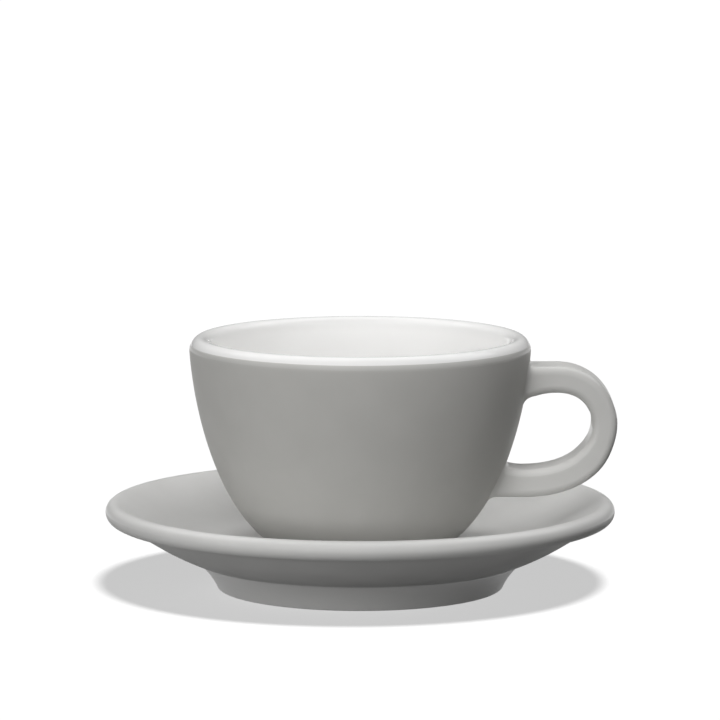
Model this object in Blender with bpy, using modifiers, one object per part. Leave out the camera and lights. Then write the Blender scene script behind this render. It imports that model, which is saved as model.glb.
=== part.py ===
"""A cappuccino cup with its saucer, in thick glazed porcelain.

Three solids: the saucer, the cup's bowl and the ear handle that is stuck to the bowl.
Metres, +Z up. The origin is on the table under the middle of the saucer, and the handle
points along +X. The cup stands loose in the saucer's well and lifts off along +Z.
"""

from functools import lru_cache
from math import acos, atan2, cos, pi, radians, sin, sqrt, tan

import bmesh
import bpy
from mathutils import Vector

# Clearance between pieces that touch
SEAT_GAP = 0.0003

# Saucer from above: a flat well, a cone that rises to the rim and a rolled lip
SAUCER_RADIUS = 0.0700
SAUCER_HEIGHT = 0.0239
LIP_ROUND = 0.0027
RIM_SLOPE = radians(32.0)
WELL_HEIGHT = 0.0130
WELL_FILLET = 0.0275

# Saucer from below: the rim wall, a thicker skirt and a coved foot ring round a recess
RIM_WALL = 0.0039
SKIRT_RADIUS = 0.0724
FOOT_TOP_RADIUS = 0.0449
FOOT_RADIUS = 0.0394
FOOT_COVE = 0.0193
FOOT_EDGE = 0.0004
FOOT_RING_WIDTH = 0.0050
FOOT_RING_DRAFT = radians(12.0)
FOOT_RING_ROUND = 0.0008
SAUCER_FLOOR = 0.0056
RECESS_FILLET = 0.0030

# Cup outside: a wall that opens from the base and runs up almost straight to the rim
CUP_HEIGHT = 0.0561
RIM_RADIUS = 0.0468
RIM_OUTER_WIDTH = 0.0030
RIM_OUTER_DROP = 0.0037
WALL_LEAN = radians(3.4)
WALL_PULL_TOP = 0.0100
BASE_RADIUS = 0.0260
BASE_SPREAD = radians(38.6)
WALL_PULL_BASE = 0.0203

# Cup base: a ring to stand on round a shallow recess
BASE_EDGE_ROUND = 0.0020
BASE_RING_WIDTH = 0.0042
BASE_RING_ROUND = 0.0005
BASE_RECESS = 0.0014
BASE_RECESS_DRAFT = radians(30.0)

# Cup inside: a round rim, a wall and a flat floor that runs into it
RIM_INNER_WIDTH = 0.0026
RIM_INNER_DROP = 0.0022
INSIDE_LEAN = radians(4.0)
INSIDE_PULL_TOP = 0.0232
INSIDE_FLOOR_RADIUS = 0.0135
INSIDE_PULL_FLOOR = 0.0164
CUP_FLOOR = 0.0058

# Height from the rim's crest down to the line where the white lining ends, on the outside
LINING_DROP = 0.0018

# Handle path: heights from the cup's rim, lengths out from the bowl's wall
HANDLE_DROP = 0.0113
HANDLE_SPAN = 0.0287
HANDLE_REACH = 0.0200
BOW_DROP = 0.0103
BOW_TILT = radians(12.8)
UPPER_ARM = 0.0070
LOWER_ARM = 0.0067
UPPER_DIP = 0.0013
LOWER_RISE = 0.0011
SHOULDER_PULL = 0.0068
BOW_PULL_UP = 0.0066
BOW_PULL_DOWN = 0.0046
HEEL_PULL = 0.0209

# Handle section: thickness along the path, depth across it and its rounded edges
UPPER_ROOT_THICKNESS = 0.0098
SHOULDER_THICKNESS = 0.0073
BOW_THICKNESS = 0.0068
HEEL_THICKNESS = 0.0076
HEEL_SWELL = (0.28, 0.60)
LOWER_ROOT_THICKNESS = 0.0098
HANDLE_DEPTH = 0.0147
HANDLE_EDGE_ROUND = 0.0021
HANDLE_FILLET = 0.0015
ROOT_SINK = 0.0030

# Facets
TURN_STEPS = 64
WALL_STEPS = 12
LIP_STEPS = 12
RIM_STEPS = 4
ROUND_STEPS = 3
EDGE_STEPS = 4
FLAT_STEPS = 4
FILLET_STEPS = 4
FILLET_SWEEP = radians(68.0)
JOINT_RUN = 0.0008
BOW_STATIONS = 26
SHARP_EDGE = radians(30.0)

# Points closer than this are one point, and the step at which a search along the handle stops
SAME_POINT = 1e-7
TRAVEL_STEP = 1e-7

# Glaze colours, linear
GREY_GLAZE = (0.452, 0.448, 0.431)
WHITE_GLAZE = (0.790, 0.785, 0.771)
GREY_ROUGHNESS = 0.42
WHITE_ROUGHNESS = 0.10


def polar(angle):
    """Unit vector at an angle in the profile plane."""
    return Vector((cos(angle), sin(angle)))


def arc(centre, radius, start, end, steps):
    """Points on a circle from one angle to another."""
    return [centre + radius * polar(start + (end - start) * i / steps) for i in range(steps + 1)]


def oval_point(centre, width, drop, angle):
    """Point of an ellipse at which its surface faces an angle."""
    facing = polar(angle)
    reach = Vector((width * facing.x, drop * facing.y)).length
    return centre + Vector((width**2 * facing.x, drop**2 * facing.y)) / reach


def oval(centre, width, drop, start, end, steps):
    """Points of an ellipse from one facing angle to another."""
    turn = (end - start) / steps
    return [oval_point(centre, width, drop, start + turn * i) for i in range(steps + 1)]


def bezier_point(a, b, c, d, t):
    """Point at t on the cubic curve from a to d."""
    s = 1.0 - t
    return s**3 * a + 3 * s * s * t * b + 3 * s * t * t * c + t**3 * d


def bezier_tangent(a, b, c, d, t):
    """Unit direction of travel at t on the cubic curve from a to d."""
    s = 1.0 - t
    return (s * s * (b - a) + 2 * s * t * (c - b) + t * t * (d - c)).normalized()


def bezier(a, b, c, d, steps):
    """Points along the cubic curve from a to d."""
    return [bezier_point(a, b, c, d, i / steps) for i in range(steps + 1)]


def round_corner(before, corner, after, radius, steps):
    """Points of the arc that rounds a corner between two straight runs."""
    back = (before - corner).normalized()
    on = (after - corner).normalized()
    half = back.angle(on) / 2
    centre = corner + (back + on).normalized() * (radius / sin(half))
    start = corner + back * (radius / tan(half)) - centre
    end = corner + on * (radius / tan(half)) - centre
    first = atan2(start.y, start.x)
    turn = atan2(start.x * end.y - start.y * end.x, start.dot(end))
    return arc(centre, radius, first, first + turn, steps)


def chain(*runs):
    """Join runs of points end to end, with each shared point once."""
    points = []
    for run in runs:
        for point in run:
            if not points or (point - points[-1]).length > SAME_POINT:
                points.append(point)
    return points


def saucer_profile():
    """Half section of the saucer, from the middle of the well, over the lip, to the recess below."""
    lip_centre = Vector((SAUCER_RADIUS - LIP_ROUND, SAUCER_HEIGHT - LIP_ROUND))
    lip_start = pi / 2 + RIM_SLOPE
    cone_top = lip_centre + LIP_ROUND * polar(lip_start)
    cone_foot = cone_top.x - (cone_top.y - WELL_HEIGHT) / tan(RIM_SLOPE)
    fillet_start = cone_foot - WELL_FILLET * tan(RIM_SLOPE / 2)
    fillet_centre = Vector((fillet_start, WELL_HEIGHT + WELL_FILLET))
    well = arc(fillet_centre, WELL_FILLET, -pi / 2, -pi / 2 + RIM_SLOPE, 2 * ROUND_STEPS)

    # The underside runs parallel to the cone and cuts into the round lip
    outward = polar(-pi / 2 + RIM_SLOPE)
    lip_end = -pi / 2 + RIM_SLOPE - acos((RIM_WALL - LIP_ROUND) / LIP_ROUND)
    lip = arc(lip_centre, LIP_ROUND, lip_start, lip_end, LIP_STEPS)
    skirt_top = well[-1] + RIM_WALL * outward
    skirt_centre = skirt_top - SKIRT_RADIUS * outward
    skirt_end = -acos((FOOT_TOP_RADIUS - skirt_centre.x) / SKIRT_RADIUS)
    skirt = arc(skirt_centre, SKIRT_RADIUS, -pi / 2 + RIM_SLOPE, skirt_end, ROUND_STEPS)

    # The cove is a circle through the skirt's end and the foot's edge, hollow to the outside
    foot_edge = Vector((FOOT_RADIUS, FOOT_EDGE))
    chord = foot_edge - skirt[-1]
    rise = sqrt(FOOT_COVE**2 - (chord.length / 2) ** 2)
    cove_centre = skirt[-1] + chord / 2 + rise * Vector((-chord.y, chord.x)).normalized()
    cove_start = atan2(skirt[-1].y - cove_centre.y, skirt[-1].x - cove_centre.x)
    cove_end = atan2(foot_edge.y - cove_centre.y, foot_edge.x - cove_centre.x)
    cove = arc(cove_centre, FOOT_COVE, cove_start, cove_end, ROUND_STEPS)
    edge_start = cove_end - pi
    edge_radius = FOOT_EDGE / (1 + sin(edge_start))
    edge_centre = foot_edge - edge_radius * polar(edge_start)
    edge = arc(edge_centre, edge_radius, edge_start, -pi / 2, ROUND_STEPS)

    ceiling = WELL_HEIGHT - SAUCER_FLOOR
    ring_inside = Vector((FOOT_RADIUS - FOOT_RING_WIDTH, 0.0))
    recess_corner = Vector((ring_inside.x - ceiling * tan(FOOT_RING_DRAFT), ceiling))
    recess_middle = Vector((0.0, ceiling))
    ring = round_corner(edge[-1], ring_inside, recess_corner, FOOT_RING_ROUND, ROUND_STEPS)
    recess = round_corner(ring_inside, recess_corner, recess_middle, RECESS_FILLET, ROUND_STEPS)
    well_middle = Vector((0.0, WELL_HEIGHT))
    return chain([well_middle], well, lip, skirt, cove, edge, ring, recess, [recess_middle])


@lru_cache(maxsize=None)
def wall_profile():
    """Outside of the cup's wall, from under the rim down to the base, with heights from the base."""
    rim_centre = Vector((RIM_RADIUS - RIM_OUTER_WIDTH, CUP_HEIGHT - RIM_OUTER_DROP))
    top = oval_point(rim_centre, RIM_OUTER_WIDTH, RIM_OUTER_DROP, -WALL_LEAN)
    base = Vector((BASE_RADIUS, 0.0))
    down = polar(-pi / 2 - WALL_LEAN)
    return bezier(top, top + WALL_PULL_TOP * down, base + WALL_PULL_BASE * polar(BASE_SPREAD), base,
                  2 * WALL_STEPS)


def wall_radius(height):
    """Radius of the cup's outside at a height above its base."""
    wall = wall_profile()
    for upper, lower in zip(wall, wall[1:]):
        if lower.y <= height <= upper.y:
            share = (height - lower.y) / (upper.y - lower.y)
            return lower.x + share * (upper.x - lower.x)
    raise ValueError("the handle meets the cup above or below its wall")


def bowl_profile():
    """Half section of the bowl, from the inside floor, over the rim, to the recess under the base."""
    crest = RIM_RADIUS - RIM_OUTER_WIDTH
    inner_centre = Vector((crest, CUP_HEIGHT - RIM_INNER_DROP))
    outer_centre = Vector((crest, CUP_HEIGHT - RIM_OUTER_DROP))
    inside_top = inner_centre - Vector((RIM_INNER_WIDTH, 0.0))
    inside_floor = Vector((INSIDE_FLOOR_RADIUS, CUP_FLOOR))
    floor_pull = inside_floor + Vector((INSIDE_PULL_FLOOR, 0.0))
    top_pull = inside_top + INSIDE_PULL_TOP * polar(-pi / 2 - INSIDE_LEAN)
    inside = bezier(inside_floor, floor_pull, top_pull, inside_top, WALL_STEPS)
    rim_inside = oval(inner_centre, RIM_INNER_WIDTH, RIM_INNER_DROP, pi, pi / 2, RIM_STEPS)
    rim_outside = oval(outer_centre, RIM_OUTER_WIDTH, RIM_OUTER_DROP, pi / 2, -WALL_LEAN, 2 * RIM_STEPS)

    wall = wall_profile()[::2]
    base = wall.pop()
    ring_inside = Vector((BASE_RADIUS - BASE_RING_WIDTH, 0.0))
    recess_corner = Vector((ring_inside.x - BASE_RECESS * tan(BASE_RECESS_DRAFT), BASE_RECESS))
    above_base = base + polar(BASE_SPREAD)
    edge = round_corner(above_base, base, ring_inside, BASE_EDGE_ROUND, ROUND_STEPS)
    ring = round_corner(base, ring_inside, recess_corner, BASE_RING_ROUND, ROUND_STEPS)
    floor_middle = Vector((0.0, CUP_FLOOR))
    recess_middle = Vector((0.0, BASE_RECESS))
    return chain([floor_middle], inside, rim_inside, rim_outside, wall, edge, ring,
                 [recess_corner, recess_middle])


def wall_cutter_profile():
    """The cup's outside, wider by the clearance, as a closed solid for cutting the handle's ends."""
    wall = wall_profile()[::2]
    around = [wall[0]] + wall + [wall[-1]]
    offset = []
    for above, point, below in zip(around, wall, around[2:]):
        along = (below - above).normalized()
        offset.append(point + SEAT_GAP * Vector((-along.y, along.x)))
    return [Vector((0.0, offset[0].y))] + offset + [Vector((0.0, offset[-1].y))]


def wall_distance(radius, height):
    """Distance of a point from the cup's outside, below zero inside the wall."""
    here = Vector((radius, height))
    wall = wall_profile()
    nearest = None
    for upper, lower in zip(wall, wall[1:]):
        run = lower - upper
        share = min(1.0, max(0.0, (here - upper).dot(run) / run.length_squared))
        away = here - (upper + share * run)
        if nearest is None or away.length < abs(nearest):
            inside = run.cross(away) < 0
            nearest = -away.length if inside else away.length
    return nearest


def ease(start, end, share):
    """Value that leaves its start and reaches its end with no slope."""
    return start + (end - start) * share * share * (3 - 2 * share)


def handle_path():
    """The handle's centre line as four cubic curves, from the upper joint to the lower one."""
    top = CUP_HEIGHT - HANDLE_DROP
    low = top - HANDLE_SPAN
    upper_root = Vector((wall_radius(top - UPPER_DIP) - ROOT_SINK, top - UPPER_DIP))
    shoulder = Vector((RIM_RADIUS + UPPER_ARM, top))
    bow = Vector((RIM_RADIUS + HANDLE_REACH, top - BOW_DROP))
    heel = Vector((wall_radius(low) + LOWER_ARM, low))
    lower_root = Vector((wall_radius(low + LOWER_RISE) - ROOT_SINK, low + LOWER_RISE))

    def arm(root, end):
        """Control points of an arm that leaves its root on a slope and ends level."""
        knee = Vector(((root.x + end.x) / 2, end.y))
        return root, root + (knee - root) * 2 / 3, end + (knee - end) * 2 / 3, end

    down = polar(-pi / 2 + BOW_TILT)
    upper_bow = (shoulder, shoulder + Vector((SHOULDER_PULL, 0)), bow - BOW_PULL_UP * down, bow)
    lower_bow = (bow, bow + BOW_PULL_DOWN * down, heel + Vector((HEEL_PULL, 0)), heel)
    return arm(upper_root, shoulder), upper_bow, lower_bow, arm(lower_root, heel)[::-1]


def handle_thickness(curve, t):
    """Thickness of the handle at t on one of its path's curves."""
    if curve == 0:
        return SHOULDER_THICKNESS + (UPPER_ROOT_THICKNESS - SHOULDER_THICKNESS) * (1 - t) ** 2
    if curve == 1:
        return ease(SHOULDER_THICKNESS, BOW_THICKNESS, t)
    if curve == 2:
        start, end = HEEL_SWELL
        share = min(1.0, max(0.0, (t - start) / (end - start)))
        return ease(BOW_THICKNESS, HEEL_THICKNESS, share)
    return HEEL_THICKNESS + (LOWER_ROOT_THICKNESS - HEEL_THICKNESS) * t**2


def section_spots():
    """Spots round the handle's section: which side and end of its flats, and the surface's angle."""
    spots = []
    for flat, deep, quarter in ((1, 1, 0), (-1, 1, 1), (-1, -1, 2), (1, -1, 3)):
        for i in range(EDGE_STEPS + 1):
            spots.append((flat, deep, (quarter + i / EDGE_STEPS) * pi / 2))
        if flat != deep:
            for i in range(1, FLAT_STEPS):
                spots.append((flat, deep * (1 - 2 * i / FLAT_STEPS), (quarter + 1) * pi / 2))
    return spots


def handle_point(path, travel, spot, growth=0.0):
    """Point on the handle at a spot of its section, with the surface pushed out by growth.

    travel counts along the path's curves, from 0 at the upper joint to 4 at the lower one.
    """
    flat, deep, angle = spot
    curve = min(int(travel), len(path) - 1)
    t = travel - curve
    centre = bezier_point(*path[curve], t)
    along = bezier_tangent(*path[curve], t)
    outward = Vector((-along.y, along.x))
    radius = HANDLE_EDGE_ROUND + growth
    across = flat * (handle_thickness(curve, t) / 2 - HANDLE_EDGE_ROUND) + radius * cos(angle)
    depth = deep * (HANDLE_DEPTH / 2 - HANDLE_EDGE_ROUND) + radius * sin(angle)
    point = centre + across * outward
    return Vector((point.x, depth, point.y))


def meet_wall(path, spot, growth, distance, root, far):
    """Travel at which a line along the handle's surface is at a distance from the bowl."""
    while abs(far - root) > TRAVEL_STEP:
        middle = (root + far) / 2
        point = handle_point(path, middle, spot, growth)
        if wall_distance(point.xy.length, point.z) < distance:
            root = middle
        else:
            far = middle
    return (root + far) / 2


def handle_rings():
    """Closed rings of points along the handle, which follow the bowl's wall near its two ends."""
    path = handle_path()
    spots = section_spots()

    # A joint's rings, by distance from the bowl and growth: the plain arm, the fillet and a root
    clear = HANDLE_FILLET + JOINT_RUN
    joint = [(clear, 0.0)]
    for i in range(FILLET_STEPS + 1):
        swept = FILLET_SWEEP * i / FILLET_STEPS
        joint.append((HANDLE_FILLET * (1 - sin(swept)), HANDLE_FILLET * (1 - cos(swept))))
    joint.append((-SEAT_GAP, joint[-1][1]))

    def joint_rings(root, far):
        """Rings of the joint at one end of the path, from the arm towards the bowl."""
        rings = []
        for distance, growth in joint:
            ring = []
            for spot in spots:
                travel = meet_wall(path, spot, growth, distance, root, far)
                ring.append(handle_point(path, travel, spot, growth))
            rings.append(ring)
        return rings

    bow = len(path) / 2
    end = len(path)
    beyond = clear + JOINT_RUN
    first = max(meet_wall(path, spot, 0.0, beyond, 0, bow) for spot in spots)
    last = min(meet_wall(path, spot, 0.0, beyond, end, bow) for spot in spots)
    rings = joint_rings(0, bow)[::-1]
    for i in range(BOW_STATIONS + 1):
        travel = first + (last - first) * i / BOW_STATIONS
        rings.append([handle_point(path, travel, spot) for spot in spots])
    return rings + joint_rings(end, bow)


def new_collection(name):
    """Collection in the scene."""
    collection = bpy.data.collections.new(name)
    bpy.context.scene.collection.children.link(collection)
    return collection


def glaze(name, colour, roughness):
    """Glazed ceramic material."""
    material = bpy.data.materials.new(name)
    material.use_nodes = True
    shader = material.node_tree.nodes["Principled BSDF"]
    shader.inputs["Base Color"].default_value = (*colour, 1.0)
    shader.inputs["Roughness"].default_value = roughness
    shader.inputs["Metallic"].default_value = 0.0
    return material


def turned(name, profile, collection):
    """Solid of revolution about Z, from a half section that starts and ends on the axis."""
    outline = bpy.data.meshes.new(name + "_outline")
    edges = [(i, i + 1) for i in range(len(profile) - 1)]
    outline.from_pydata([(point.x, 0.0, point.y) for point in profile], edges, [])
    lathe = bpy.data.objects.new(name + "_lathe", outline)
    collection.objects.link(lathe)
    screw = lathe.modifiers.new("turn", "SCREW")
    screw.axis = "Z"
    screw.angle = 2 * pi
    screw.steps = TURN_STEPS
    screw.render_steps = TURN_STEPS
    screw.use_merge_vertices = True
    screw.merge_threshold = SAME_POINT

    mesh = bpy.data.meshes.new_from_object(lathe.evaluated_get(bpy.context.evaluated_depsgraph_get()))
    mesh.name = name
    bpy.data.objects.remove(lathe)
    bpy.data.meshes.remove(outline)
    mesh.shade_smooth()
    mesh.set_sharp_from_angle(angle=SHARP_EDGE)
    solid = bpy.data.objects.new(name, mesh)
    collection.objects.link(solid)
    return solid


def make_saucer(collection):
    """The saucer, standing on the table."""
    saucer = turned("saucer", saucer_profile(), collection)
    saucer.data.materials.append(glaze("saucer_glaze", GREY_GLAZE, GREY_ROUGHNESS))
    return saucer


def make_bowl(collection):
    """The cup's bowl, grey outside and white from the rim inwards."""
    bowl = turned("cup_bowl", bowl_profile(), collection)
    bowl.data.materials.append(glaze("bowl_glaze", GREY_GLAZE, GREY_ROUGHNESS))
    bowl.data.materials.append(glaze("bowl_lining", WHITE_GLAZE, WHITE_ROUGHNESS))
    for face in bowl.data.polygons:
        above_line = face.center.z > CUP_HEIGHT - LINING_DROP
        facing_in = face.normal.xy.dot(face.center.xy) < SAME_POINT
        if above_line or (facing_in and face.normal.z > 0):
            face.material_index = 1
    return bowl


def make_handle(collection, cutters):
    """The ear handle, lofted along its path and saddled to the bowl."""
    mesh = bpy.data.meshes.new("cup_handle")
    loft = bmesh.new()
    rings = []
    for ring in handle_rings():
        rings.append([loft.verts.new(point) for point in ring])
    for ring, following in zip(rings, rings[1:]):
        for i, corner in enumerate(ring):
            before = i - 1
            loft.faces.new((ring[before], corner, following[i], following[before]))
    loft.faces.new(rings[0])
    loft.faces.new(rings[-1])
    bmesh.ops.recalc_face_normals(loft, faces=loft.faces)
    loft.to_mesh(mesh)
    loft.free()
    mesh.shade_smooth()
    handle = bpy.data.objects.new("cup_handle", mesh)
    collection.objects.link(handle)
    handle.data.materials.append(glaze("handle_glaze", GREY_GLAZE, GREY_ROUGHNESS))

    cutter = turned("bowl_cutter", wall_cutter_profile(), cutters)
    cutter.hide_render = True
    cutter.display_type = "WIRE"
    saddle = handle.modifiers.new("saddle", "BOOLEAN")
    saddle.operation = "DIFFERENCE"
    saddle.solver = "EXACT"
    saddle.object = cutter
    return handle, cutter


def main():
    """Build the saucer and the cup that stands in it."""
    for item in list(bpy.data.objects):
        bpy.data.objects.remove(item, do_unlink=True)
    parts = new_collection("cappuccino_cup_and_saucer")
    cutters = new_collection("cutters")
    make_saucer(parts)

    cup = bpy.data.objects.new("cup_lift_axis", None)
    cup.empty_display_size = CUP_HEIGHT
    cup.location.z = WELL_HEIGHT + SEAT_GAP
    parts.objects.link(cup)
    bowl = make_bowl(parts)
    for piece in (bowl, *make_handle(parts, cutters)):
        piece.parent = cup


main()
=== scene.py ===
"""Looks of the cappuccino cup and its saucer: fine glazed surfaces, studio light and camera.

Metres, +Z up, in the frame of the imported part. The cup's own heights are measured from its base.
"""

from functools import lru_cache
from math import acos, atan2, cos, pi, radians, sin, sqrt, tan

import bmesh
import bpy
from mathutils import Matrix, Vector


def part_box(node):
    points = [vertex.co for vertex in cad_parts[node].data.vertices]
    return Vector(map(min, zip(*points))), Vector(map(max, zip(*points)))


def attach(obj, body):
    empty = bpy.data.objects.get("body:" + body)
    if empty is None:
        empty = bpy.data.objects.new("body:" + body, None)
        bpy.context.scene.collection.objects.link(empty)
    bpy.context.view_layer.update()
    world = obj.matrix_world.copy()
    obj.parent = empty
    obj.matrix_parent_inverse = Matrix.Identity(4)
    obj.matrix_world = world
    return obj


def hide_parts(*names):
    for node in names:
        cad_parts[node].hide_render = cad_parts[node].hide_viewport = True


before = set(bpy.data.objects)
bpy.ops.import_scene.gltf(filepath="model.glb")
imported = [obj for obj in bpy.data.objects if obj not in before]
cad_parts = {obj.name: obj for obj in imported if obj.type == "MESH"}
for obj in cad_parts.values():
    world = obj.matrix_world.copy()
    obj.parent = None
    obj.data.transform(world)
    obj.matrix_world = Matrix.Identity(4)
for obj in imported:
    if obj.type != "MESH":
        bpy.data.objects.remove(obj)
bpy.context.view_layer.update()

# Saucer from above
SAUCER_RADIUS = 0.0700
SAUCER_HEIGHT = 0.0239
LIP_ROUND = 0.0027
RIM_SLOPE = radians(32.0)
WELL_HEIGHT = 0.0130
WELL_FILLET = 0.0275

# Saucer from below
RIM_WALL = 0.0039
SKIRT_RADIUS = 0.0724
FOOT_TOP_RADIUS = 0.0449
FOOT_RADIUS = 0.0394
FOOT_COVE = 0.0193
FOOT_EDGE = 0.0004
FOOT_RING_WIDTH = 0.0050
FOOT_RING_DRAFT = radians(12.0)
FOOT_RING_ROUND = 0.0008
SAUCER_FLOOR = 0.0056
RECESS_FILLET = 0.0030

# Cup outside and base
CUP_HEIGHT = 0.0561
RIM_RADIUS = 0.0468
RIM_OUTER_WIDTH = 0.0030
RIM_OUTER_DROP = 0.0037
WALL_LEAN = radians(3.4)
WALL_PULL_TOP = 0.0100
BASE_RADIUS = 0.0260
BASE_SPREAD = radians(38.6)
WALL_PULL_BASE = 0.0203
BASE_EDGE_ROUND = 0.0020
BASE_RING_WIDTH = 0.0042
BASE_RING_ROUND = 0.0005
BASE_RECESS = 0.0014
BASE_RECESS_DRAFT = radians(30.0)

# Cup inside
RIM_INNER_WIDTH = 0.0026
RIM_INNER_DROP = 0.0022
INSIDE_LEAN = radians(4.0)
INSIDE_PULL_TOP = 0.0232
INSIDE_FLOOR_RADIUS = 0.0135
INSIDE_PULL_FLOOR = 0.0164
CUP_FLOOR = 0.0058

# White lining: where it ends below the rim's crest, and how deep it lies in the wall
LINING_DROP = 0.00195
LINING_COAT = 0.0004

# Handle path
HANDLE_DROP = 0.0113
HANDLE_SPAN = 0.0287
HANDLE_REACH = 0.0200
BOW_DROP = 0.0103
BOW_TILT = radians(12.8)
UPPER_ARM = 0.0070
LOWER_ARM = 0.0067
UPPER_DIP = 0.0013
LOWER_RISE = 0.0011
SHOULDER_PULL = 0.0068
BOW_PULL_UP = 0.0066
BOW_PULL_DOWN = 0.0046
HEEL_PULL = 0.0209

# Handle section
UPPER_ROOT_THICKNESS = 0.0098
SHOULDER_THICKNESS = 0.0073
BOW_THICKNESS = 0.0068
HEEL_THICKNESS = 0.0076
HEEL_SWELL = (0.28, 0.60)
LOWER_ROOT_THICKNESS = 0.0098
HANDLE_DEPTH = 0.0147
HANDLE_EDGE_ROUND = 0.0021
HANDLE_FILLET = 0.0015
ROOT_SINK = 0.0030

# Bare clay on the two rings that stand on something: its step below the glaze and its margins
BARE_STEP = 0.00008
BARE_MARGIN = 0.0003
BARE_DEPTH = 0.0006

# Facets
TURN_STEPS = 192
WALL_STEPS = 40
LIP_STEPS = 28
RIM_STEPS = 14
ROUND_STEPS = 8
EDGE_STEPS = 8
FLAT_SHARES = (0.06, 0.35, 0.65, 0.94)
FILLET_STEPS = 9
FILLET_SWEEP = radians(84.0)
JOINT_RUN = 0.0006
JOINT_SINK = 0.0004
BOW_STATIONS = 72
SHARP_EDGE = radians(35.0)
SAME_POINT = 1e-7
TRAVEL_STEP = 1e-5

# Camera, fitted to the outlines of the lip, the rim and the foot
CAMERA_PLACE = (0.0, -1.3954, 0.25074)
CAMERA_DIP = 0.1339
CAMERA_SENSOR = 36.0
CAMERA_LENS = 256.78
IMAGE_WIDTH = 720
CAMERA_SHIFT = -0.15

# Tones of the glazes and the clay, two each. The saucer and the handle are paler than the bowl,
# partly as painted light
BOWL_TONES = ((0.455, 0.451, 0.433), (0.472, 0.468, 0.450))
SHOULDER_HIGHLIGHT_TONES = ((0.546, 0.542, 0.524), (0.567, 0.563, 0.543))
SAUCER_TONES = ((0.568, 0.566, 0.556), (0.589, 0.587, 0.576))
HANDLE_TONES = ((0.557, 0.554, 0.539), (0.576, 0.573, 0.558))
HANDLE_PAINTED_LIGHT_TONES = ((0.588, 0.584, 0.569), (0.608, 0.605, 0.589))
WHITE_TONES = ((0.852, 0.849, 0.841), (0.868, 0.865, 0.857))
CLAY_TONES = ((0.52, 0.48, 0.42), (0.66, 0.63, 0.57))

# Finishes: roughness range, specular level, noise scale per metre of the mottle and of the grain,
# depth of the grain
SATIN_FINISH = ((0.285, 0.345), 0.50, 90.0, 400.0, 0.000004)
DULL_FINISH = ((0.46, 0.54), 0.08, 90.0, 400.0, 0.000004)
WHITE_FINISH = ((0.05, 0.08), 0.50, 60.0, 500.0, 0.000010)
CLAY_FINISH = ((0.80, 0.95), 0.20, 700.0, 3000.0, 0.000100)

# Noise that is spread over a whole range of tone or gloss, its detail, and the gloss's share of the
# grain's scale
NOISE_RANGE = (0.3, 0.7)
MOTTLE_DETAIL = 4.0
GRAIN_DETAIL = 2.0
GLOSS_SCALE = 0.25

# Painted shade on the white over the rim: where it starts and ends below the crest, the tone left
RIM_SHADE_START = 0.0040
RIM_SHADE_END = 0.0012
RIM_SHADE_SHARE = 0.95

# Painted highlight: the grey is painted palest next to the white; how far below the crest it
# reaches its full depth, and the tone left there
SHOULDER_HIGHLIGHT_END = 0.0033
SHOULDER_HIGHLIGHT_SHARE = 0.84

# Painted light and shade on the handle's satin, paler low down and darker upwards: where that
# starts and ends above the cup's base, and the tone left at the end
HANDLE_LOW = 0.0200
HANDLE_HIGH = 0.0480
HANDLE_SHADE_SHARE = 0.905

# The grey glaze is satin on faces whose normal rises more than this and on the saucer's foot, and
# duller on the others
SATIN_RISE = 0.10
SATIN_FOOT_TOP = 0.0074

# Softboxes that light the object: name, place, aim, width and height, power
SOFTBOXES = (
    ("front_top_box", (-0.31, -1.16, 1.25), (0.0, 0.0, 0.05), (0.7, 0.6), 9.1),
    ("top_box", (0.30, -0.25, 1.07), (0.30, -0.25, 0.0), (0.6, 0.5), 6.6),
    ("front_box", (-0.61, -1.58, 0.20), (0.0, 0.0, 0.05), (1.1, 0.6), 13.1),
    ("left_box", (-1.55, -0.69, 0.20), (0.0, 0.0, 0.05), (0.9, 0.6), 4.8),
    ("back_box", (-0.27, 1.54, 0.38), (0.0, 0.0, 0.05), (1.4, 0.6), 3.5),
    ("left_back_box", (-0.66, 1.14, 0.97), (0.0, 0.0, 0.05), (0.8, 0.6), 10.1),
    ("right_back_box", (0.66, 1.14, 0.97), (0.0, 0.0, 0.05), (0.8, 0.6), 11.1),
)

# Wide box overhead that lights nothing but shows as the shine on the glaze
SHINE_PLACE = (0.20, 0.34, 1.07)
SHINE_AIM = (0.20, 0.34, 0.0)
SHINE_SIZE = (2.6, 1.02)
SHINE_POWER = 11.8

# The room's colour and its brightness, as light on the object and as seen in the glaze
ROOM_COLOUR = (1.0, 1.0, 1.0, 1.0)
AIR_LEVEL = 0.0
ROOM_LEVEL = 0.15

# Floor: size, brightness in the shadow, its tone under the sun and the tone that it throws back
FLOOR_SIZE = 14.0
SHADOW_LEVEL = 0.57
FLOOR_TONE = 0.30
FLOOR_BOUNCE = 0.05

# Sun that lights the floor alone, for the shadow
SUN_PLACE = (0.0, 0.0, 2.0)
SUN_AIM = (-0.25, 0.80, 0.0)
SUN_ANGLE = radians(12.0)
SUN_POWER = 5.2


def polar(angle):
    """Unit vector at an angle in the profile plane."""
    return Vector((cos(angle), sin(angle)))


def arc(centre, radius, start, end, steps):
    """Points on a circle from one angle to another."""
    return [centre + radius * polar(start + (end - start) * i / steps) for i in range(steps + 1)]


def oval_point(centre, width, drop, angle):
    """Point of an ellipse at which its surface faces an angle."""
    facing = polar(angle)
    reach = Vector((width * facing.x, drop * facing.y)).length
    return centre + Vector((width**2 * facing.x, drop**2 * facing.y)) / reach


def oval(centre, width, drop, start, end, steps):
    """Points of an ellipse from one facing angle to another."""
    turn = (end - start) / steps
    return [oval_point(centre, width, drop, start + turn * i) for i in range(steps + 1)]


def bezier_point(a, b, c, d, t):
    """Point at t on the cubic curve from a to d."""
    s = 1.0 - t
    return s**3 * a + 3 * s * s * t * b + 3 * s * t * t * c + t**3 * d


def bezier_tangent(a, b, c, d, t):
    """Unit direction of travel at t on the cubic curve from a to d."""
    s = 1.0 - t
    return (s * s * (b - a) + 2 * s * t * (c - b) + t * t * (d - c)).normalized()


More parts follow.
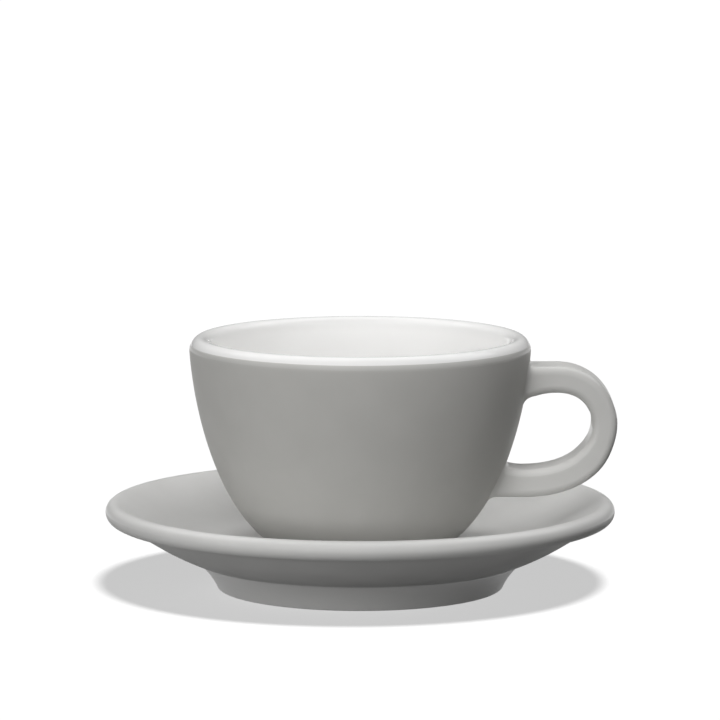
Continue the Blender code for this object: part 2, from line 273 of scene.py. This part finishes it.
def bezier(a, b, c, d, steps):
    """Points along the cubic curve from a to d."""
    return [bezier_point(a, b, c, d, i / steps) for i in range(steps + 1)]


def round_corner(before, corner, after, radius, steps):
    """Points of the arc that rounds a corner between two straight runs."""
    back = (before - corner).normalized()
    on = (after - corner).normalized()
    half = back.angle(on) / 2
    centre = corner + (back + on).normalized() * (radius / sin(half))
    start = corner + back * (radius / tan(half)) - centre
    end = corner + on * (radius / tan(half)) - centre
    first = atan2(start.y, start.x)
    turn = atan2(start.x * end.y - start.y * end.x, start.dot(end))
    return arc(centre, radius, first, first + turn, steps)


def chain(*runs):
    """Join runs of points end to end, with each shared point once."""
    points = []
    for run in runs:
        for point in run:
            if not points or (point - points[-1]).length > SAME_POINT:
                points.append(point)
    return points


def sunk(points, depth):
    """The outline moved to its right-hand side by a depth."""
    around = [points[0], *points, points[-1]]
    moved = []
    for before, point, after in zip(around, points, around[2:]):
        along = (after - before).normalized()
        moved.append(point + depth * Vector((along.y, -along.x)))
    return moved


def saucer_outline():
    """Half section of the saucer, from the well's middle, over the lip, to the recess below."""
    lip_centre = Vector((SAUCER_RADIUS - LIP_ROUND, SAUCER_HEIGHT - LIP_ROUND))
    lip_start = pi / 2 + RIM_SLOPE
    cone_top = lip_centre + LIP_ROUND * polar(lip_start)
    cone_foot = cone_top.x - (cone_top.y - WELL_HEIGHT) / tan(RIM_SLOPE)
    fillet_start = cone_foot - WELL_FILLET * tan(RIM_SLOPE / 2)
    fillet_centre = Vector((fillet_start, WELL_HEIGHT + WELL_FILLET))
    well = arc(fillet_centre, WELL_FILLET, -pi / 2, -pi / 2 + RIM_SLOPE, 2 * ROUND_STEPS)

    outward = polar(-pi / 2 + RIM_SLOPE)
    lip_end = -pi / 2 + RIM_SLOPE - acos((RIM_WALL - LIP_ROUND) / LIP_ROUND)
    lip = arc(lip_centre, LIP_ROUND, lip_start, lip_end, LIP_STEPS)
    skirt_top = well[-1] + RIM_WALL * outward
    skirt_centre = skirt_top - SKIRT_RADIUS * outward
    skirt_end = -acos((FOOT_TOP_RADIUS - skirt_centre.x) / SKIRT_RADIUS)
    skirt = arc(skirt_centre, SKIRT_RADIUS, -pi / 2 + RIM_SLOPE, skirt_end, ROUND_STEPS)

    foot_edge = Vector((FOOT_RADIUS, FOOT_EDGE))
    chord = foot_edge - skirt[-1]
    rise = sqrt(FOOT_COVE**2 - (chord.length / 2) ** 2)
    cove_centre = skirt[-1] + chord / 2 + rise * Vector((-chord.y, chord.x)).normalized()
    cove_start = atan2(skirt[-1].y - cove_centre.y, skirt[-1].x - cove_centre.x)
    cove_end = atan2(foot_edge.y - cove_centre.y, foot_edge.x - cove_centre.x)
    cove = arc(cove_centre, FOOT_COVE, cove_start, cove_end, ROUND_STEPS)
    edge_start = cove_end - pi
    edge_radius = FOOT_EDGE / (1 + sin(edge_start))
    edge_centre = foot_edge - edge_radius * polar(edge_start)
    edge = arc(edge_centre, edge_radius, edge_start, -pi / 2, ROUND_STEPS)

    ceiling = WELL_HEIGHT - SAUCER_FLOOR
    ring_inside = Vector((FOOT_RADIUS - FOOT_RING_WIDTH, 0.0))
    recess_corner = Vector((ring_inside.x - ceiling * tan(FOOT_RING_DRAFT), ceiling))
    recess_middle = Vector((0.0, ceiling))
    ring = round_corner(edge[-1], ring_inside, recess_corner, FOOT_RING_ROUND, ROUND_STEPS)
    recess = round_corner(ring_inside, recess_corner, recess_middle, RECESS_FILLET, ROUND_STEPS)
    well_middle = Vector((0.0, WELL_HEIGHT))
    return chain([well_middle], well, lip, skirt, cove, edge, ring, recess, [recess_middle])


@lru_cache(maxsize=None)
def wall_outline():
    """Outside of the cup's wall, from under the rim down to the base."""
    rim_centre = Vector((RIM_RADIUS - RIM_OUTER_WIDTH, CUP_HEIGHT - RIM_OUTER_DROP))
    top = oval_point(rim_centre, RIM_OUTER_WIDTH, RIM_OUTER_DROP, -WALL_LEAN)
    base = Vector((BASE_RADIUS, 0.0))
    down = polar(-pi / 2 - WALL_LEAN)
    spread = polar(BASE_SPREAD)
    top_pull = top + WALL_PULL_TOP * down
    base_pull = base + WALL_PULL_BASE * spread
    return bezier(top, top_pull, base_pull, base, WALL_STEPS)


def lining_end():
    """Angle that the rim's shoulder faces where the white lining ends."""
    level = 1 - LINING_DROP / RIM_OUTER_DROP
    return atan2(level / RIM_OUTER_DROP, sqrt(1 - level**2) / RIM_OUTER_WIDTH)


def lining_outline():
    """The white surface, from the middle of the cup's floor, over the rim, to where it ends."""
    crest = RIM_RADIUS - RIM_OUTER_WIDTH
    end = lining_end()
    inner_centre = Vector((crest, CUP_HEIGHT - RIM_INNER_DROP))
    outer_centre = Vector((crest, CUP_HEIGHT - RIM_OUTER_DROP))
    inside_top = inner_centre - Vector((RIM_INNER_WIDTH, 0.0))
    inside_floor = Vector((INSIDE_FLOOR_RADIUS, CUP_FLOOR))
    floor_pull = inside_floor + Vector((INSIDE_PULL_FLOOR, 0.0))
    top_pull = inside_top + INSIDE_PULL_TOP * polar(-pi / 2 - INSIDE_LEAN)
    inside = bezier(inside_floor, floor_pull, top_pull, inside_top, WALL_STEPS)
    rim_inside = oval(inner_centre, RIM_INNER_WIDTH, RIM_INNER_DROP, pi, pi / 2, RIM_STEPS)
    rim_outside = oval(outer_centre, RIM_OUTER_WIDTH, RIM_OUTER_DROP, pi / 2, end, RIM_STEPS)
    floor_middle = Vector((0.0, CUP_FLOOR))
    return chain([floor_middle], inside, rim_inside, rim_outside)


def shell_outline():
    """The grey surface of the bowl, from where the lining ends to the recess under the base."""
    start = lining_end()
    outer_centre = Vector((RIM_RADIUS - RIM_OUTER_WIDTH, CUP_HEIGHT - RIM_OUTER_DROP))
    shoulder = oval(outer_centre, RIM_OUTER_WIDTH, RIM_OUTER_DROP, start, -WALL_LEAN, RIM_STEPS)
    base = Vector((BASE_RADIUS, 0.0))
    ring_inside = Vector((BASE_RADIUS - BASE_RING_WIDTH, 0.0))
    recess_corner = Vector((ring_inside.x - BASE_RECESS * tan(BASE_RECESS_DRAFT), BASE_RECESS))
    above_base = base + polar(BASE_SPREAD)
    edge = round_corner(above_base, base, ring_inside, BASE_EDGE_ROUND, ROUND_STEPS)
    ring = round_corner(base, ring_inside, recess_corner, BASE_RING_ROUND, ROUND_STEPS)
    wall = [point for point in wall_outline() if point.y > edge[0].y]
    return chain(shoulder, wall, edge, ring, [recess_corner, Vector((0.0, BASE_RECESS))])


def raised(outline):
    """The outline with its standing flat lifted clear of the bare clay."""
    return [Vector((point.x, max(point.y, BARE_STEP))) for point in outline]


def bare_outline(outline):
    """Closed section of the ring of bare clay on an outline's standing flat."""
    flat = [point.x for point in outline if point.y < SAME_POINT]
    inside = min(flat) + BARE_MARGIN
    outside = max(flat) - BARE_MARGIN
    corners = [(inside, BARE_DEPTH), (outside, BARE_DEPTH), (outside, 0.0), (inside, 0.0)]
    return [Vector(corner) for corner in corners]


def wall_radius(height):
    """Radius of the cup's outside at a height above its base."""
    wall = wall_outline()
    for upper, lower in zip(wall, wall[1:]):
        if lower.y <= height <= upper.y:
            share = (height - lower.y) / (upper.y - lower.y)
            return lower.x + share * (upper.x - lower.x)
    raise ValueError("the handle meets the cup above or below its wall")


def wall_distance(radius, height):
    """Distance of a point from the cup's outside, below zero inside the wall."""
    here = Vector((radius, height))
    wall = wall_outline()
    nearest = None
    for upper, lower in zip(wall, wall[1:]):
        run = lower - upper
        share = min(1.0, max(0.0, (here - upper).dot(run) / run.length_squared))
        away = here - (upper + share * run)
        if nearest is None or away.length < abs(nearest):
            inside = run.cross(away) < 0
            nearest = -away.length if inside else away.length
    return nearest


def ease(start, end, share):
    """Value that leaves its start and reaches its end with no slope."""
    return start + (end - start) * share * share * (3 - 2 * share)


def handle_path():
    """The handle's centre line as four cubic curves, from the upper joint to the lower one."""
    top = CUP_HEIGHT - HANDLE_DROP
    low = top - HANDLE_SPAN
    upper_root = Vector((wall_radius(top - UPPER_DIP) - ROOT_SINK, top - UPPER_DIP))
    shoulder = Vector((RIM_RADIUS + UPPER_ARM, top))
    bow = Vector((RIM_RADIUS + HANDLE_REACH, top - BOW_DROP))
    heel = Vector((wall_radius(low) + LOWER_ARM, low))
    lower_root = Vector((wall_radius(low + LOWER_RISE) - ROOT_SINK, low + LOWER_RISE))

    def arm(root, end):
        """Control points of an arm that leaves its root on a slope and ends level."""
        knee = Vector(((root.x + end.x) / 2, end.y))
        return root, root + (knee - root) * 2 / 3, end + (knee - end) * 2 / 3, end

    down = polar(-pi / 2 + BOW_TILT)
    upper_bow = (shoulder, shoulder + Vector((SHOULDER_PULL, 0)), bow - BOW_PULL_UP * down, bow)
    lower_bow = (bow, bow + BOW_PULL_DOWN * down, heel + Vector((HEEL_PULL, 0)), heel)
    return arm(upper_root, shoulder), upper_bow, lower_bow, arm(lower_root, heel)[::-1]


def handle_thickness(curve, t):
    """Thickness of the handle at t on one of its path's curves."""
    if curve == 0:
        return SHOULDER_THICKNESS + (UPPER_ROOT_THICKNESS - SHOULDER_THICKNESS) * (1 - t) ** 2
    if curve == 1:
        return ease(SHOULDER_THICKNESS, BOW_THICKNESS, t)
    if curve == 2:
        start, end = HEEL_SWELL
        share = min(1.0, max(0.0, (t - start) / (end - start)))
        return ease(BOW_THICKNESS, HEEL_THICKNESS, share)
    return HEEL_THICKNESS + (LOWER_ROOT_THICKNESS - HEEL_THICKNESS) * t**2


def section_spots():
    """Spots round the handle's section: the side and end of its flats, and the surface's angle."""
    corners = ((1, 1), (-1, 1), (-1, -1), (1, -1))
    spots = []
    for quarter, (flat, deep) in enumerate(corners):
        for i in range(EDGE_STEPS + 1):
            spots.append((flat, deep, (quarter + i / EDGE_STEPS) * pi / 2))
        next_flat, next_deep = corners[(quarter + 1) % len(corners)]
        for share in FLAT_SHARES:
            across = flat + (next_flat - flat) * share
            along = deep + (next_deep - deep) * share
            spots.append((across, along, (quarter + 1) * pi / 2))
    return spots


def handle_point(path, travel, spot, growth=0.0):
    """Point on the handle at a spot of its section, with the surface pushed out by growth.

    travel counts along the path's curves, from 0 at the upper joint to 4 at the lower one.
    """
    flat, deep, angle = spot
    curve = min(int(travel), len(path) - 1)
    t = travel - curve
    centre = bezier_point(*path[curve], t)
    along = bezier_tangent(*path[curve], t)
    outward = Vector((-along.y, along.x))
    radius = HANDLE_EDGE_ROUND + growth
    across = flat * (handle_thickness(curve, t) / 2 - HANDLE_EDGE_ROUND) + radius * cos(angle)
    depth = deep * (HANDLE_DEPTH / 2 - HANDLE_EDGE_ROUND) + radius * sin(angle)
    point = centre + across * outward
    return Vector((point.x, depth, point.y))


def meet_wall(path, spot, growth, distance, root, far):
    """Travel at which a line along the handle's surface is at a distance from the bowl."""
    while abs(far - root) > TRAVEL_STEP:
        middle = (root + far) / 2
        point = handle_point(path, middle, spot, growth)
        if wall_distance(point.xy.length, point.z) < distance:
            root = middle
        else:
            far = middle
    return (root + far) / 2


def handle_rings():
    """Closed rings of points along the handle, which follow the bowl's wall and sink into it."""
    path = handle_path()
    spots = section_spots()
    clear = HANDLE_FILLET + JOINT_RUN
    joint = [(clear, 0.0)]
    for i in range(FILLET_STEPS + 1):
        swept = FILLET_SWEEP * i / FILLET_STEPS
        joint.append((HANDLE_FILLET * (1 - sin(swept)), HANDLE_FILLET * (1 - cos(swept))))
    joint.append((-JOINT_SINK, joint[-1][1]))

    def joint_rings(root, far):
        """Rings of the joint at one end of the path, from the arm towards the bowl."""
        rings = []
        for distance, growth in joint:
            ring = []
            for spot in spots:
                travel = meet_wall(path, spot, growth, distance, root, far)
                ring.append(handle_point(path, travel, spot, growth))
            rings.append(ring)
        return rings

    bow = len(path) / 2
    end = len(path)
    beyond = clear + JOINT_RUN
    first = max(meet_wall(path, spot, 0.0, beyond, 0, bow) for spot in spots)
    last = min(meet_wall(path, spot, 0.0, beyond, end, bow) for spot in spots)
    rings = joint_rings(0, bow)[::-1]
    for i in range(BOW_STATIONS + 1):
        travel = first + (last - first) * i / BOW_STATIONS
        rings.append([handle_point(path, travel, spot) for spot in spots])
    return rings + joint_rings(end, bow)


def finished(name, shape):
    """Object from a closed shape, with its faces pointing out and shaded smooth."""
    bmesh.ops.recalc_face_normals(shape, faces=shape.faces)
    mesh = bpy.data.meshes.new(name)
    shape.to_mesh(mesh)
    shape.free()
    mesh.shade_smooth()
    mesh.set_sharp_from_angle(angle=SHARP_EDGE)
    piece = bpy.data.objects.new(name, mesh)
    bpy.context.scene.collection.objects.link(piece)
    return piece


def turned(name, outline, lift=0.0, closed=False):
    """Solid of revolution about Z from a half section that is closed or ends on the axis."""
    shape = bmesh.new()
    rings = []
    for point in outline:
        if point.x < SAME_POINT:
            rings.append([shape.verts.new((0.0, 0.0, point.y + lift))])
            continue
        turns = [polar(2 * pi * i / TURN_STEPS) * point.x for i in range(TURN_STEPS)]
        rings.append([shape.verts.new((turn.x, turn.y, point.y + lift)) for turn in turns])
    following = rings[1:] + rings[:1] if closed else rings[1:]
    for ring, after in zip(rings, following):
        for i in range(TURN_STEPS):
            j = (i + 1) % TURN_STEPS
            near = [ring[k % len(ring)] for k in (i, j)]
            far = [after[k % len(after)] for k in (j, i)]
            shape.faces.new(dict.fromkeys(near + far))
    return finished(name, shape)


def lofted(name, outlines, lift=0.0):
    """Solid through closed rings of points, with flat ends."""
    shape = bmesh.new()
    rings = []
    for outline in outlines:
        rings.append([shape.verts.new((point.x, point.y, point.z + lift)) for point in outline])
    for ring, after in zip(rings, rings[1:]):
        for i, corner in enumerate(ring):
            shape.faces.new((ring[i - 1], corner, after[i], after[i - 1]))
    shape.faces.new(rings[0])
    shape.faces.new(rings[-1])
    return finished(name, shape)


def ceramic(name, tones, roughness, specular, mottle, grain, relief, fade=None):
    """Ceramic surface with a soft mottle between two tones, uneven gloss and a fine relief.

    mottle and grain are noise scales per metre, and relief is the depth of the grain in metres.
    fade is two heights between which the tone changes, for painted light and shade, and the share
    of it that is left.
    """
    material = bpy.data.materials.new(name)
    material.use_nodes = True
    nodes = material.node_tree.nodes
    links = material.node_tree.links
    shader = nodes["Principled BSDF"]
    shader.inputs["Specular IOR Level"].default_value = specular
    place = nodes.new("ShaderNodeTexCoord").outputs["Object"]

    def noise(scale, detail):
        """Noise of a scale and detail in the part's frame."""
        node = nodes.new("ShaderNodeTexNoise")
        node.inputs["Scale"].default_value = scale
        node.inputs["Detail"].default_value = detail
        links.new(place, node.inputs["Vector"])
        return node.outputs["Fac"]

    def mapped(value, before, after):
        """Value taken from one range to another."""
        node = nodes.new("ShaderNodeMapRange")
        node.inputs["From Min"].default_value, node.inputs["From Max"].default_value = before
        node.inputs["To Min"].default_value, node.inputs["To Max"].default_value = after
        links.new(value, node.inputs["Value"])
        return node.outputs["Result"]

    tone = nodes.new("ShaderNodeValToRGB")
    for stop, position, colour in zip(tone.color_ramp.elements, NOISE_RANGE, tones):
        stop.position = position
        stop.color = (*colour, 1.0)
    links.new(noise(mottle, MOTTLE_DETAIL), tone.inputs["Fac"])
    colour = tone.outputs["Color"]
    if fade is not None:
        start, end, left = fade
        height = nodes.new("ShaderNodeSeparateXYZ")
        links.new(place, height.inputs["Vector"])
        faded = nodes.new("ShaderNodeVectorMath")
        faded.operation = "SCALE"
        links.new(colour, faded.inputs["Vector"])
        share = mapped(height.outputs["Z"], (start, end), (1.0, left))
        links.new(share, faded.inputs["Scale"])
        colour = faded.outputs["Vector"]
    links.new(colour, shader.inputs["Base Color"])

    gloss = mapped(noise(grain * GLOSS_SCALE, GRAIN_DETAIL), NOISE_RANGE, roughness)
    links.new(gloss, shader.inputs["Roughness"])

    bump = nodes.new("ShaderNodeBump")
    bump.inputs["Distance"].default_value = relief
    links.new(noise(grain, GRAIN_DETAIL), bump.inputs["Height"])
    links.new(bump.outputs["Normal"], shader.inputs["Normal"])
    return material


def glaze(piece, tones, satin_tones, fade=None):
    """Glaze a grey piece: satin on its upper faces and on the saucer's foot, duller elsewhere."""
    piece.data.materials.append(ceramic(f"{piece.name}_dull", tones, *DULL_FINISH))
    piece.data.materials.append(ceramic(f"{piece.name}_satin", satin_tones, *SATIN_FINISH, fade))
    for face in piece.data.polygons:
        satin = face.normal.z > SATIN_RISE or face.center.z < SATIN_FOOT_TOP
        face.material_index = int(satin)


def make_saucer(clay):
    """The saucer with its foot ring of bare clay."""
    outline = saucer_outline()
    dish = turned("saucer_dish", raised(outline))
    glaze(dish, SAUCER_TONES, SAUCER_TONES)
    foot = turned("saucer_foot_ring", bare_outline(outline), closed=True)
    foot.data.materials.append(clay)
    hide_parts("saucer")
    for piece in (dish, foot):
        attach(piece, "saucer")


def make_cup(clay):
    """The cup: its grey shell and white lining, the ear handle and the base ring of bare clay."""
    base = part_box("cup_bowl")[0].z
    crest = base + CUP_HEIGHT
    surface = lining_outline()
    hidden = sunk(surface, LINING_COAT)
    lining = turned("bowl_lining", surface + hidden[::-1], lift=base)
    # Painted shade: the white is made darker towards the rim's crest
    rim_shade = (crest - RIM_SHADE_START, crest - RIM_SHADE_END, RIM_SHADE_SHARE)
    lining.data.materials.append(ceramic("white_glaze", WHITE_TONES, *WHITE_FINISH, rim_shade))
    outline = shell_outline()
    shell = turned("bowl_shell", sunk(surface, LINING_COAT / 2) + raised(outline), lift=base)
    # Painted highlight: the grey's satin is paler just under the white
    shoulder = (crest - LINING_DROP, crest - SHOULDER_HIGHLIGHT_END, SHOULDER_HIGHLIGHT_SHARE)
    glaze(shell, BOWL_TONES, SHOULDER_HIGHLIGHT_TONES, shoulder)
    ring = turned("cup_base_ring", bare_outline(outline), lift=base, closed=True)
    ring.data.materials.append(clay)
    handle = lofted("ear_handle", handle_rings(), lift=base)
    # Painted light and shade: the handle's satin is paler low down and darker towards the top
    handle_painted_light = (base + HANDLE_LOW, base + HANDLE_HIGH, HANDLE_SHADE_SHARE)
    glaze(handle, HANDLE_TONES, HANDLE_PAINTED_LIGHT_TONES, handle_painted_light)
    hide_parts("cup_bowl")
    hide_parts("cup_bowl")
    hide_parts("cup_handle")
    for piece in (lining, shell, ring, handle):
        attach(piece, "cup")


def make_camera():
    """Camera at the photograph's place."""
    camera = bpy.data.objects.new("camera", bpy.data.cameras.new("camera"))
    bpy.context.scene.collection.objects.link(camera)
    camera.location = CAMERA_PLACE
    camera.rotation_euler = (pi / 2 - CAMERA_DIP, 0.0, 0.0)
    camera.data.sensor_width = CAMERA_SENSOR
    camera.data.lens = CAMERA_LENS
    camera.data.shift_x = CAMERA_SHIFT / IMAGE_WIDTH
    bpy.context.scene.camera = camera


def by_ray(tree, unseen, seen):
    """Shader that shows one node to camera, glossy and transmission rays, another to the rest."""
    rays = tree.nodes.new("ShaderNodeLightPath")
    share = rays.outputs["Is Camera Ray"]
    for kind in ("Is Glossy Ray", "Is Transmission Ray"):
        either = tree.nodes.new("ShaderNodeMath")
        either.operation = "MAXIMUM"
        tree.links.new(share, either.inputs[0])
        tree.links.new(rays.outputs[kind], either.inputs[1])
        share = either.outputs[0]
    choice = tree.nodes.new("ShaderNodeMixShader")
    tree.links.new(share, choice.inputs[0])
    tree.links.new(unseen.outputs[0], choice.inputs[1])
    tree.links.new(seen.outputs[0], choice.inputs[2])
    return choice.outputs[0]


def make_floor():
    """White floor that keeps the shadow and throws little light back at the object."""
    mesh = bpy.data.meshes.new("floor")
    half = FLOOR_SIZE / 2
    corners = [(-half, -half, 0.0), (half, -half, 0.0), (half, half, 0.0), (-half, half, 0.0)]
    mesh.from_pydata(corners, [], [(0, 1, 2, 3)])
    floor = bpy.data.objects.new("floor", mesh)
    bpy.context.scene.collection.objects.link(floor)

    material = bpy.data.materials.new("floor")
    material.use_nodes = True
    nodes = material.node_tree.nodes
    links = material.node_tree.links
    nodes.clear()
    glow = nodes.new("ShaderNodeEmission")
    glow.inputs["Strength"].default_value = SHADOW_LEVEL
    lit = nodes.new("ShaderNodeBsdfDiffuse")
    lit.inputs["Color"].default_value = (FLOOR_TONE, FLOOR_TONE, FLOOR_TONE, 1.0)
    both = nodes.new("ShaderNodeAddShader")
    links.new(glow.outputs[0], both.inputs[0])
    links.new(lit.outputs[0], both.inputs[1])
    dim = nodes.new("ShaderNodeBsdfDiffuse")
    dim.inputs["Color"].default_value = (FLOOR_BOUNCE, FLOOR_BOUNCE, FLOOR_BOUNCE, 1.0)
    output = nodes.new("ShaderNodeOutputMaterial")
    links.new(by_ray(material.node_tree, dim, both), output.inputs["Surface"])
    mesh.materials.append(material)
    return floor


def lamp(name, kind, place, aim, link_state, floor):
    """Light that shines on the floor alone, or on everything but the floor."""
    light = bpy.data.lights.new(name, kind)
    source = bpy.data.objects.new(name, light)
    bpy.context.scene.collection.objects.link(source)
    source.location = place
    source.rotation_euler = (Vector(aim) - Vector(place)).to_track_quat("-Z", "Y").to_euler()
    shares = bpy.data.collections.new(name)
    shares.objects.link(floor)
    shares.collection_objects[0].light_linking.link_state = link_state
    source.light_linking.receiver_collection = shares
    return source


def softbox(name, place, aim, size, power, floor):
    """Rectangular light for the object."""
    box = lamp(name, "AREA", place, aim, "EXCLUDE", floor)
    box.data.shape = "RECTANGLE"
    box.data.size, box.data.size_y = size
    box.data.energy = power
    return box


def make_light(floor):
    """Boxes that light the object, one that shines on it, the floor's sun and a dim room."""
    for settings in SOFTBOXES:
        softbox(*settings, floor).visible_glossy = False
    shine = softbox("shine_box", SHINE_PLACE, SHINE_AIM, SHINE_SIZE, SHINE_POWER, floor)
    shine.visible_diffuse = False
    sun = lamp("floor_sun", "SUN", SUN_PLACE, SUN_AIM, "INCLUDE", floor)
    sun.data.angle = SUN_ANGLE
    sun.data.energy = SUN_POWER

    world = bpy.data.worlds.new("air")
    world.use_nodes = True
    tree = world.node_tree
    air = tree.nodes["Background"]
    air.inputs["Color"].default_value = ROOM_COLOUR
    air.inputs["Strength"].default_value = AIR_LEVEL
    room = tree.nodes.new("ShaderNodeBackground")
    room.inputs["Color"].default_value = ROOM_COLOUR
    room.inputs["Strength"].default_value = ROOM_LEVEL
    tree.links.new(by_ray(tree, air, room), tree.nodes["World Output"].inputs["Surface"])
    bpy.context.scene.world = world
    bpy.context.scene.view_settings.view_transform = "Standard"


def main():
    """Build the pieces, the light and the camera."""
    clay = ceramic("bare_clay", CLAY_TONES, *CLAY_FINISH)
    make_saucer(clay)
    make_cup(clay)
    make_light(make_floor())
    make_camera()


main()
